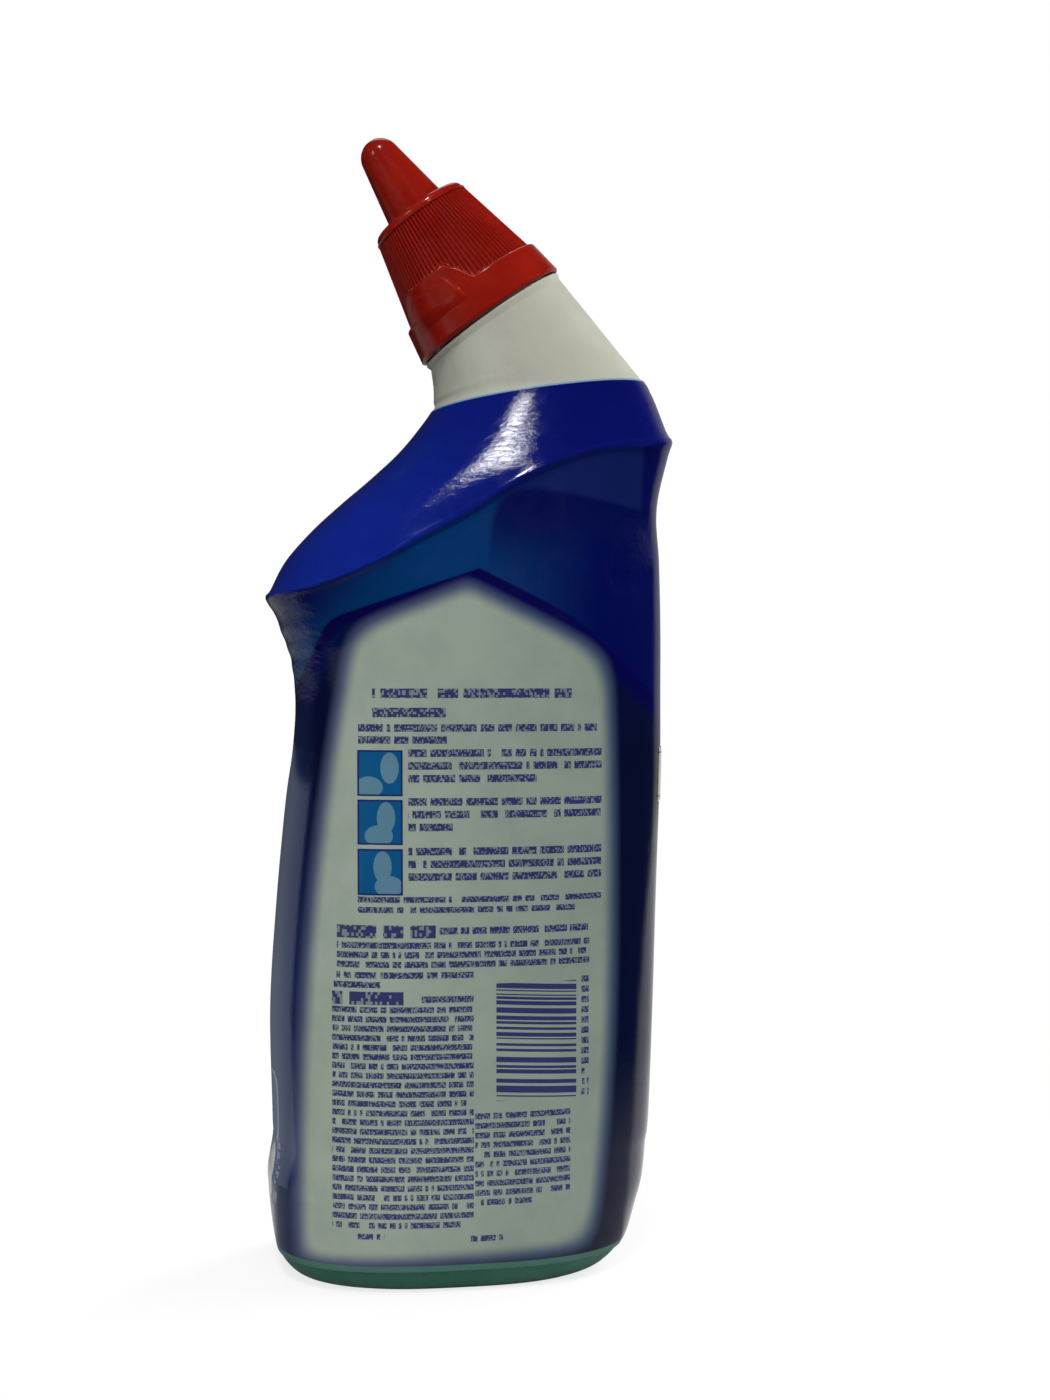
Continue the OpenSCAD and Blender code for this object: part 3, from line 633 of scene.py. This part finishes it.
    blocks = [
        text(-24.8, 20.2, 136.9, 2, 4.3, 0.5, 1.15, 3, ends=-8.5),
        text(-27.9, 26.2, 128.9, 2, 2.7, 0.62, 0.8, 11, ends=-8.3),
        text(-16.9, 27.4, 123.3, 3, 2.85, 0.6, 0.8, 23, ends=12.0),
        text(-16.9, 27.4, 112.4, 3, 2.85, 0.6, 0.8, 31, ends=-7.0),
        text(-16.9, 27.4, 101.3, 3, 2.85, 0.6, 0.8, 41),
        text(-28.2, 27.4, 90.3, 2, 2.3, 0.58, 0.72, 53, ends=21.0),
        text(-10.0, 24.2, 83.4, 1, 2.4, 0.66, 0.66, 61),
        text(-32.7, 24.5, 80.1, 3, 2.15, 0.66, 0.66, 71),
        text(-33.4, -2.3, 73.4, 2, 2.15, 0.66, 0.8, 83, ends=-23.0),
        text(-33.8, -2.3, 65.6, 24, 2.11, 0.64, 0.66, 97, ends=-5.0),
        text(-14.0, -2.3, 68.0, 1, 2.2, 0.66, 0.66, 103),
        text(-2.0, 20.0, 41.4, 10, 2.17, 0.62, 0.7, 211, ends=11.0),
        text(22.6, 24.4, 71.5, 12, 2.35, 0.62, 0.6, 251),
        text(-28.2, -22.3, 14.5, 1, 2.0, 0.66, 0.8, 307),
        text(-2.9, 4.4, 13.6, 1, 2.0, 0.7, 0.7, 311),
    ]
    heads = [
        text(-32.7, -10.8, 83.9, 1, 3.1, 0.93, 1.5, 401),
        text(-33.8, -15.0, 69.0, 1, 3.3, 0.9, 1.5, 409),
    ]
    words = blocks[0]
    for b in blocks[1:] + heads:
        words = g.math("MAXIMUM", words, b)

    # Block of plain stripes of uneven width
    stripe = g.add("ShaderNodeTexWhiteNoise", noise_dimensions="1D")
    g.put(stripe.inputs["W"], g.math("FLOOR", g.times(g.line(0.06, 1.0, 0.0), 1 / 0.31)))
    bars = g.times(g.math("GREATER_THAN", stripe.outputs["Value"], 0.45),
                   g.math("COMPARE", x, 12.1, 9.3), g.math("COMPARE", z, 57.3, 13.3))
    words = g.math("MAXIMUM", words, bars)
    ink = g.blend(ink, colour(0.010, 0.012, 0.115), g.times(words, front, 0.92))

    # Three plain picture fields, each with a dark rim and soft pale shapes
    middle, half, rim = -23.1, 5.0, 0.4
    for i, (top, low) in enumerate(((123.1, 112.8), (112.0, 101.9), (101.0, 90.6))):
        du = g.math("COMPARE", x, middle, half)
        dv = g.math("COMPARE", z, (top + low) / 2, (top - low) / 2)
        iu = g.math("COMPARE", x, middle, half - rim)
        iv = g.math("COMPARE", z, (top + low) / 2, (top - low) / 2 - rim)
        ink = g.blend(ink, colour(0.01, 0.02, 0.13), g.times(du, dv, front))
        ink = g.blend(ink, colour(0.004, 0.085, 0.23), g.times(iu, iv, front))
        shape = g.math("MAXIMUM", g.spot(-25.6 + 2.2 * i, low + 2.0, 3.4, 2.6),
                       g.spot(-21.0 - 0.8 * i, top - 4.0, 2.2, 3.8))
        ink = g.blend(ink, colour(0.10, 0.22, 0.30), g.times(g.ramp(shape, 0.02, 0.12), iu, iv, front))

    # Back: one pale rounded field inside the blue
    back = g.ramp(g.y, -3.0, 3.0)
    field = g.math("ADD", g.power(g.times(g.math("ADD", x, 1.0), 1 / 31.0), 3.0),
                   g.power(g.times(g.math("SUBTRACT", z, 86.0), 1 / 60.0), 3.0))
    ink = g.blend(ink, colour(0.003, 0.035, 0.16), g.times(g.ramp(field, 1.12, 0.9), back))
    ink = g.blend(ink, colour(0.30, 0.34, 0.31), g.times(g.ramp(field, 0.62, 0.5), back))

    # Left flank: a pale emblem field with a broken ring of small marks, and a thin frame over it
    flank = g.ramp(x, -40.0, -42.0)
    emblem = g.math("SQRT", g.math(
        "ADD", g.power(g.times(g.math("SUBTRACT", g.y, 4.0), 1 / 14.0), 2.0),
        g.power(g.times(g.math("SUBTRACT", z, 24.5), 1 / 12.5), 2.0)))
    marks = g.cells(g.math("FLOOR", g.times(z, 1 / 0.7)), g.math("FLOOR", g.times(emblem, 14.0)))
    band = g.math("COMPARE", emblem, 1.19, 0.07)
    ink = g.blend(ink, colour(0.22, 0.24, 0.42),
                  g.times(flank, band, g.math("GREATER_THAN", marks, 0.45), 0.8))
    leaf = g.ramp(g.noise(0.11, 2.0, 0.5, (1.0, 1.0, 1.6)), 0.40, 0.46)
    ink = g.blend(ink, g.blend(colour(0.14, 0.16, 0.21), colour(0.62, 0.63, 0.60), leaf),
                  g.times(flank, g.ramp(emblem, 1.03, 0.98)))
    across = g.math("SUBTRACT", g.math("ABSOLUTE", g.math("SUBTRACT", g.y, 2.0)), 13.6)
    over = g.math("SUBTRACT", g.math("ABSOLUTE", g.math("SUBTRACT", z, 39.5)), 8.4)
    frame_edge = g.math("SMOOTH_MAX", across, over, 7.0)
    frame_in = g.times(flank, g.ramp(frame_edge, 0.1, -0.1), g.math("GREATER_THAN", emblem, 1.1))
    ink = g.blend(ink, colour(0.06, 0.10, 0.17), g.times(frame_in, 0.8))
    ink = g.blend(ink, colour(0.30, 0.36, 0.46), g.times(frame_in, g.ramp(frame_edge, -0.75, -0.55)))

    # Unprinted ends of the film
    slope = (FILM_RIGHT[1] - FILM_LEFT[1]) / (FILM_RIGHT[0] - FILM_LEFT[0])
    film_top = g.line(-slope, 1.0, -(FILM_LEFT[1] - slope * (FILM_LEFT[0] - CENTRE_X)))
    ink = g.blend(ink, colour(0.20, 0.33, 0.42), g.ramp(film_top, -0.5, -0.3))
    ink = g.blend(ink, colour(0.062, 0.165, 0.130), g.ramp(z, 7.0, 6.7))

    # Uneven ink, gloss and relief too fine for the mesh
    mottling = g.noise(0.09, 4.0, 0.6)
    ink = g.blend(ink, colour(0.90, 0.91, 0.92), g.ramp(mottling, 0.35, 0.7), "MULTIPLY")
    g.put(g.shader.inputs["Base Color"], ink)
    g.put(g.shader.inputs["Roughness"], g.ramp(g.noise(0.25, 4.0, 0.6), 0.3, 0.75, 0.07, 0.16))
    ripple = g.noise(0.16, 3.0, 0.55, (1.0, 1.0, 0.7))
    grain = g.noise(1.3, 4.0, 0.65)
    crease_l = g.times(g.noise(0.42, 5.0, 0.65, (0.6, 1.0, 1.5), 1.2),
                       g.math("MAXIMUM", g.spot(-43.0, 146.0, 12.0, 17.0),
                              g.spot(-39.0, 163.0, 10.0, 7.0)))
    crease_r = g.times(g.noise(0.8, 5.0, 0.65, (0.7, 1.0, 1.3), 1.0), g.spot(35.0, 169.0, 8.0, 9.0))
    drag = g.noise(1.1, 4.0, 0.7, (0.35, 1.0, 1.0), 0.6)
    drag = g.times(drag, g.ramp(ridge, 1.5, 6.0))
    height = g.sum(g.times(ripple, 0.10), g.times(grain, 0.06), g.times(drag, 0.13),
                   g.times(crease_l, 0.6), g.times(crease_r, 0.6))
    g.bump(height, 0.4)
    return g


def natural_plastic():
    """Milky blown plastic, green where the cleaner stands behind it."""
    g = Graph("natural_hdpe", Roughness=0.38, IOR=1.5, Subsurface_Weight=0.35, Subsurface_Scale=0.004)
    g.shader.inputs["Subsurface Radius"].default_value = (1.0, 0.95, 0.8)
    cloud = g.ramp(g.noise(0.05, 3.0, 0.5), 0.35, 0.7)
    milk = g.blend(colour(0.40, 0.405, 0.335), colour(0.45, 0.455, 0.38), cloud)
    green = g.blend(colour(0.028, 0.118, 0.080), colour(0.038, 0.145, 0.104), cloud)
    full = g.ramp(g.z, CLEANER_LEVEL - 0.5, CLEANER_LEVEL + 1.5)
    g.put(g.shader.inputs["Base Color"], g.blend(green, milk, full))
    g.put(g.shader.inputs["Roughness"], g.ramp(g.noise(0.6, 4.0), 0.3, 0.7, 0.32, 0.45))
    g.bump(g.sum(g.noise(0.35, 3.0), g.times(g.noise(2.2, 3.0), 0.15)), 0.12)
    return g


def red_plastic(name, deep=1.0, shade_ribs=False):
    """Moulded red plastic, with painted shade darkening the valleys between the grip ribs when asked."""
    g = Graph(name, Roughness=0.15, IOR=1.48, Subsurface_Weight=0.12, Subsurface_Scale=0.002)
    g.shader.inputs["Subsurface Radius"].default_value = (1.0, 0.12, 0.05)
    cloud = g.ramp(g.noise(0.12, 3.0), 0.35, 0.7)
    red = g.blend(colour(0.225 * deep, 0.0062 * deep, 0.0022 * deep),
                  colour(0.26 * deep, 0.009 * deep, 0.0034 * deep), cloud)
    if shade_ribs:
        away = (CENTRE_X - RIM_X, -RIM_Z)
        side = g.line(ACROSS[0], ACROSS[1], away[0] * ACROSS[0] + away[1] * ACROSS[1])
        up = g.line(UP[0], UP[1], away[0] * UP[0] + away[1] * UP[1])
        turn = g.times(g.math("ARCTAN2", g.y, side), RIBS / (2 * math.pi))
        wave = g.times(g.math("ABSOLUTE", g.math("SUBTRACT", g.math("FRACT", turn), 0.5)), 2.0)
        radius = g.math("SQRT", g.sum(g.times(side, side), g.times(g.y, g.y)))
        slope = (grip_radius(RIB_HIGH) - grip_radius(RIB_LOW)) / (RIB_HIGH - RIB_LOW)
        grip = g.sum(g.times(up, slope), grip_radius(0) + 0.08)
        on_grip = g.times(g.math("LESS_THAN", radius, grip), g.ramp(up, SKIRT_H, SKIRT_H + 0.6),
                          g.ramp(up, 28.6, 28.2))
        # Painted shade: the valleys between the grip ribs are darkened
        red = g.blend(red, colour(0.58, 0.48, 0.48),
                      g.times(g.ramp(wave, 0.25, 0.9), on_grip), "MULTIPLY")
    g.put(g.shader.inputs["Base Color"], red)
    g.put(g.shader.inputs["Roughness"], g.ramp(g.noise(0.8, 4.0), 0.3, 0.7, 0.12, 0.2))
    g.bump(g.sum(g.noise(0.5, 2.0), g.times(g.noise(3.0, 3.0), 0.06)), 0.012)
    return g


def sticker_paper():
    """Off-white paper with a thin brown frame line."""
    g = Graph("sticker_paper", Roughness=0.7, IOR=1.45)
    low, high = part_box("price_sticker")
    z_mid, z_half = (low.z + high.z) / 2 / MM, (high.z - low.z) / 2 / MM
    paper = g.blend(colour(0.46, 0.42, 0.37), colour(0.56, 0.53, 0.48), g.noise(0.6, 5.0))
    frame_line = g.times(g.math("COMPARE", g.z, z_mid, z_half - 1.0),
                         g.math("SUBTRACT", 1.0, g.math("COMPARE", g.z, z_mid, z_half - 1.3)))
    g.put(g.shader.inputs["Base Color"], g.blend(paper, colour(0.10, 0.06, 0.045), frame_line))
    g.bump(g.noise(3.0, 5.0, 0.7), 0.05)
    return g


def cleaner():
    """Blue-green contents, slightly uneven."""
    g = Graph("cleaner", Roughness=0.05, IOR=1.34)
    tint = g.blend(colour(0.02, 0.16, 0.12), colour(0.03, 0.2, 0.15), g.noise(0.03, 3.0))
    g.put(g.shader.inputs["Base Color"], tint)
    g.put(g.shader.inputs["Roughness"], g.ramp(g.noise(0.2), 0.3, 0.7, 0.04, 0.08))
    return g


dress(bottle, natural_plastic())
dress(sleeve, print_film())
dress(cap, red_plastic("cap_red", shade_ribs=True))
dress(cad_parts["closure_base"], red_plastic("cap_red_inner", 0.9))
dress(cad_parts["price_sticker"], sticker_paper())
dress(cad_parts["cleaner_liquid"], cleaner())

for piece, node, body, slot in ((bottle, "bottle", "bottle_body", "natural_hdpe"),
                                (sleeve, "sleeve_label", "bottle_body", "shrink_film"),
                                (cap, "twist_cap", "cap_body", "cap_red")):
    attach(piece, body)
    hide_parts(node)

# Floor that shows white to the camera and keeps the object's shadow
bpy.ops.mesh.primitive_circle_add(vertices=96, radius=1.6, fill_type="NGON", location=(0, 0, -0.0002))
floor = bpy.context.object
floor.name = "floor"
floor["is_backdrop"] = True


def between(low, high):
    """Middle and half width of a range of degrees, in radians."""
    return math.radians((low + high) / 2), math.radians((high - low) / 2)


def floor_material():
    """Pale to the camera, a plain grey near the object as light, and uneven in reflections."""
    g = Graph("floor", Roughness=0.9)
    reach = g.math("SQRT", g.sum(g.power(g.x, 2.0), g.power(g.y, 2.0)))
    near = g.ramp(reach, 260.0, 90.0)
    path = g.add("ShaderNodeLightPath")
    seen = g.math("SUBTRACT", 1.0, g.times(near, 0.24))
    heading = g.math("ARCTAN2", g.x, g.times(g.y, -1.0))
    edge = g.sum(g.times(reach, math.radians(0.05)), math.radians(79))
    beyond = g.math("SUBTRACT", heading, g.math("MINIMUM", edge, math.radians(121)))
    doorway = g.times(g.ramp(beyond, 0.0, math.radians(10)),
                      g.ramp(heading, math.radians(150), math.radians(172), 0.58, 0.3),
                      g.ramp(reach, 1500.0, 800.0, 0.45, 1.0))
    patch_l = g.times(g.math("COMPARE", heading, *between(-79, -37)),
                      g.ramp(reach, 640.0, 690.0), 0.34)
    behind_l = g.ramp(heading, math.radians(-100), math.radians(-115), 0.0, 0.3)
    mirror = g.sum(0.02, doorway, patch_l, behind_l)
    glossy = g.times(path.outputs["Is Glossy Ray"], mirror)
    glow = g.math("ADD", g.times(path.outputs["Is Camera Ray"], seen), glossy)
    g.put(g.shader.inputs["Base Color"], g.blend(colour(0.0, 0.0, 0.0), colour(0.27, 0.27, 0.27), near))
    g.shader.inputs["Specular IOR Level"].default_value = 0.0
    g.shader.inputs["Emission Color"].default_value = colour(1.0, 1.0, 1.0)
    g.put(g.shader.inputs["Emission Strength"], glow)
    return g


dress(floor, floor_material())

# World: white to the camera, soft grey as light, and bright behind the object in reflections
world = bpy.data.worlds.new("studio")
bpy.context.scene.world = world
world.use_nodes = True
g = Graph.__new__(Graph)
g.tree = world.node_tree
background = g.tree.nodes["Background"]
place = g.add("ShaderNodeTexCoord")
split = g.add("ShaderNodeSeparateXYZ")
g.put(split.inputs[0], place.outputs["Generated"])
heading = g.math("ARCTAN2", split.outputs[0], g.math("MULTIPLY", split.outputs[1], -1.0))
doorway = g.times(g.ramp(heading, math.radians(120), math.radians(132)), 0.28)
level = g.ramp(split.outputs[2], math.sin(math.radians(42)), math.sin(math.radians(18)))
behind = g.ramp(g.math("ABSOLUTE", heading), math.radians(155), math.radians(165))
high = g.times(behind, g.ramp(split.outputs[2], math.sin(math.radians(36)), math.sin(math.radians(42))),
               g.ramp(split.outputs[2], math.sin(math.radians(70)), math.sin(math.radians(62))), 1.3)
mirror = g.sum(g.times(doorway, level), high, 0.015)
path = g.add("ShaderNodeLightPath")
glossy = path.outputs["Is Glossy Ray"]
camera_ray = path.outputs["Is Camera Ray"]
ambient = g.math("ADD", g.times(glossy, mirror), g.times(g.math("SUBTRACT", 1.0, glossy), 0.30))
strength = g.math("ADD", g.times(camera_ray, 1.0), g.times(g.math("SUBTRACT", 1.0, camera_ray), ambient))
g.put(background.inputs["Strength"], strength)
background.inputs["Color"].default_value = colour(1.0, 1.0, 1.0)

# Low pale card bent round the left and the back, seen in reflections alone
CARD_R, CARD_TOP, CARD_POINTS = 0.118, 0.124, 24
arc = np.radians(np.linspace(-86, -170, CARD_POINTS))
edge = np.stack([CARD_R * np.sin(arc), -CARD_R * np.cos(arc)], 1)
points = np.concatenate([np.column_stack([edge, np.full(CARD_POINTS, z)]) for z in (0.0, CARD_TOP)])
mesh = bpy.data.meshes.new("card")
mesh.from_pydata(points.tolist(), [], [[k, k + 1, k + CARD_POINTS + 1, k + CARD_POINTS]
                                       for k in range(CARD_POINTS - 1)])
card = bpy.data.objects.new("card", mesh)
bpy.context.scene.collection.objects.link(card)
card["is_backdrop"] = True
card.visible_camera = card.visible_diffuse = card.visible_shadow = card.visible_transmission = False


def card_material():
    g = Graph("card", Roughness=0.9)
    heading = g.math("ARCTAN2", g.x, g.times(g.y, -1.0))
    level = g.times(g.ramp(heading, math.radians(-88), math.radians(-91)),
                    g.ramp(heading, math.radians(-152), math.radians(-92), 0.15, 0.85),
                    g.ramp(g.z, CARD_TOP / MM, CARD_TOP / MM - 6.0), g.ramp(g.z, 90.0, 50.0, 0.8, 1.0))
    g.shader.inputs["Base Color"].default_value = colour(0.0, 0.0, 0.0)
    g.shader.inputs["Specular IOR Level"].default_value = 0.0
    g.shader.inputs["Emission Color"].default_value = colour(0.82, 0.93, 1.12)
    g.put(g.shader.inputs["Emission Strength"], level)
    return g


dress(card, card_material())

# Point that the camera and the lamps look at
TARGET = Vector((0.0135, 0.0, 0.1338))


def heading_back(azimuth, elevation):
    """Unit vector from the target towards a thing at these angles, in degrees."""
    a, e = math.radians(azimuth), math.radians(elevation)
    return Vector((math.sin(a) * math.cos(e), -math.cos(a) * math.cos(e), math.sin(e)))


def lamp(name, azimuth, elevation, distance, width, height, watts, glossy=True, roll=0.0):
    light = bpy.data.lights.new(name, "AREA")
    light.shape = "RECTANGLE"
    light.size, light.size_y = width, height
    light.energy = watts
    thing = bpy.data.objects.new(name, light)
    back = heading_back(azimuth, elevation)
    thing.location = TARGET + back * distance
    thing.rotation_mode = "QUATERNION"
    thing.rotation_quaternion = back.to_track_quat("Z", "Y") @ Quaternion((0, 0, 1), math.radians(roll))
    thing.visible_glossy = glossy
    bpy.context.scene.collection.objects.link(thing)


lamp("key", -18, 57.5, 1.2, 0.09, 0.18, 3.4, roll=57)
lamp("key_soft", -15, 50, 1.2, 0.3, 0.3, 3.2, glossy=False)
lamp("spout_light", -52, 25, 1.2, 0.07, 0.3, 0.8)
lamp("fill_left", -60, 12, 1.3, 0.9, 0.9, 3.5, glossy=False)
lamp("fill_front", 20, 5, 1.5, 0.8, 0.8, 8.5, glossy=False)
lamp("fill_right", 80, 20, 1.3, 0.6, 0.6, 6.0, glossy=False)
lamp("rim_right", 125, 25, 1.3, 0.6, 0.6, 14.0, glossy=False)

# Camera at the photograph's place
AZIMUTH, ELEVATION, DISTANCE, FOCAL_LENGTH = -8.0, 0.94, 0.420, 44.61
camera = bpy.data.objects.new("camera", bpy.data.cameras.new("camera"))
bpy.context.scene.collection.objects.link(camera)
back = heading_back(AZIMUTH, ELEVATION)
camera.location = TARGET + back * DISTANCE
camera.rotation_mode = "QUATERNION"
camera.rotation_quaternion = back.to_track_quat("Z", "Y")
camera.data.sensor_width = 36.0
camera.data.lens = FOCAL_LENGTH
camera.data.clip_start = 0.01
bpy.context.scene.camera = camera
bpy.context.scene.view_settings.view_transform = "Standard"

low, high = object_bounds()
